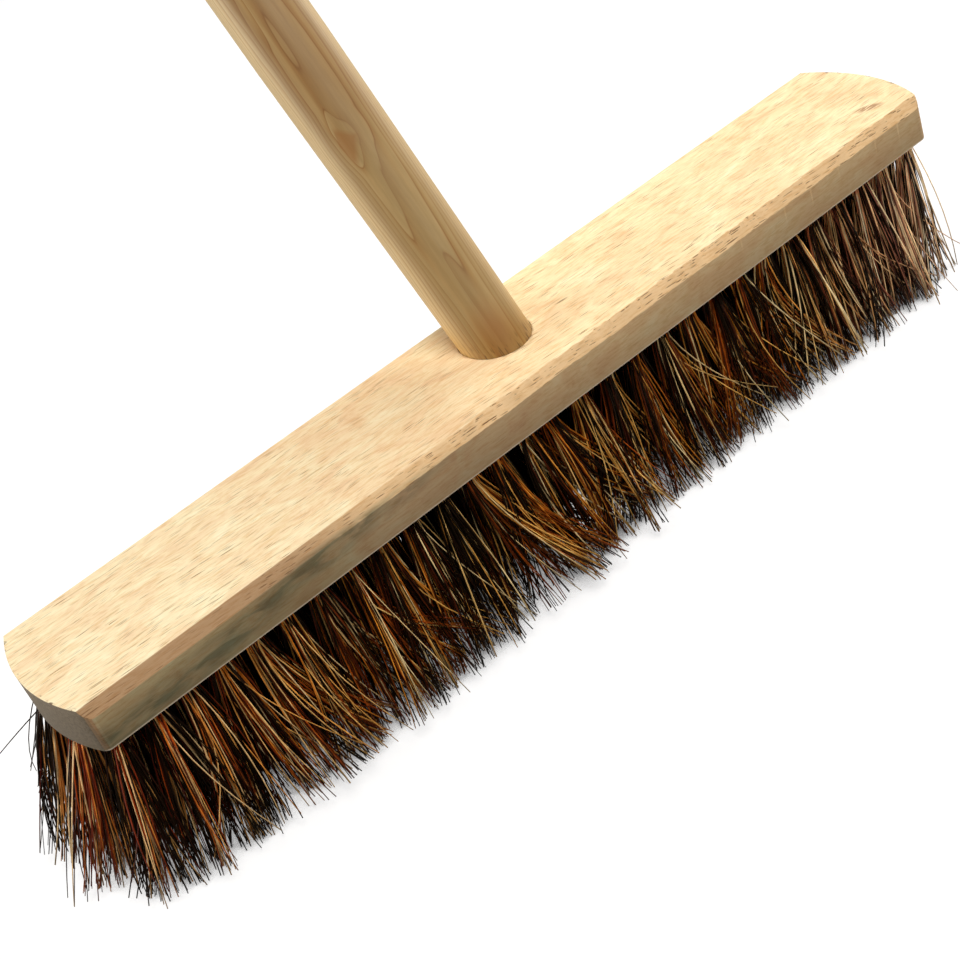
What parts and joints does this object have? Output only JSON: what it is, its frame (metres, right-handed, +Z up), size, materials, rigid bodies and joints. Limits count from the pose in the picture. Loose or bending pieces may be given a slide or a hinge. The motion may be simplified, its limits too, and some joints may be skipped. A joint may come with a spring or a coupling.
{
  "type": "yard brush",
  "caption": "Yard brush: a chamfered wooden stock with rows of stiff fibre tufts and a tapered pole leaning back out of its socket.",
  "frame": {"origin": "on the plane of the bristle tips, under the middle of the stock", "axes": "+X along the stock, -Y out of its front face, +Z up; the handle leans back towards +Y"},
  "size_m": [0.4208, 0.688, 1.095],
  "materials": {
    "stock_wood": "bare pale hardwood, sanded",
    "handle_wood": "bare softwood pole, smooth",
    "fibre": "stiff dark brown plant fibre"
  },
  "bodies": {
    "root": {"stock": "stock_wood", "handle": "handle_wood", "tuft_row_1_01": "fibre", "tuft_row_1_02": "fibre", "tuft_row_1_03": "fibre", "tuft_row_1_04": "fibre", "tuft_row_1_05": "fibre", "tuft_row_1_06": "fibre", "tuft_row_1_07": "fibre", "tuft_row_1_08": "fibre", "tuft_row_1_09": "fibre", "tuft_row_1_10": "fibre", "tuft_row_1_11": "fibre", "tuft_row_1_12": "fibre", "tuft_row_2_01": "fibre", "tuft_row_2_02": "fibre", "tuft_row_2_03": "fibre", "tuft_row_2_04": "fibre", "tuft_row_2_05": "fibre", "tuft_row_2_07": "fibre", "tuft_row_2_08": "fibre", "tuft_row_2_09": "fibre", "tuft_row_2_10": "fibre", "tuft_row_2_11": "fibre", "tuft_row_3_01": "fibre", "tuft_row_3_02": "fibre", "tuft_row_3_03": "fibre", "tuft_row_3_04": "fibre", "tuft_row_3_05": "fibre", "tuft_row_3_06": "fibre", "tuft_row_3_08": "fibre", "tuft_row_3_09": "fibre", "tuft_row_3_10": "fibre", "tuft_row_3_11": "fibre", "tuft_row_3_12": "fibre", "tuft_row_4_01": "fibre", "tuft_row_4_02": "fibre", "tuft_row_4_03": "fibre", "tuft_row_4_04": "fibre", "tuft_row_4_05": "fibre", "tuft_row_4_07": "fibre", "tuft_row_4_08": "fibre", "tuft_row_4_09": "fibre", "tuft_row_4_10": "fibre", "tuft_row_4_11": "fibre", "tuft_row_5_01": "fibre", "tuft_row_5_02": "fibre", "tuft_row_5_03": "fibre", "tuft_row_5_04": "fibre", "tuft_row_5_05": "fibre", "tuft_row_5_06": "fibre", "tuft_row_5_07": "fibre", "tuft_row_5_08": "fibre", "tuft_row_5_09": "fibre", "tuft_row_5_10": "fibre", "tuft_row_5_11": "fibre", "tuft_row_5_12": "fibre"}
  },
  "joints": []
}
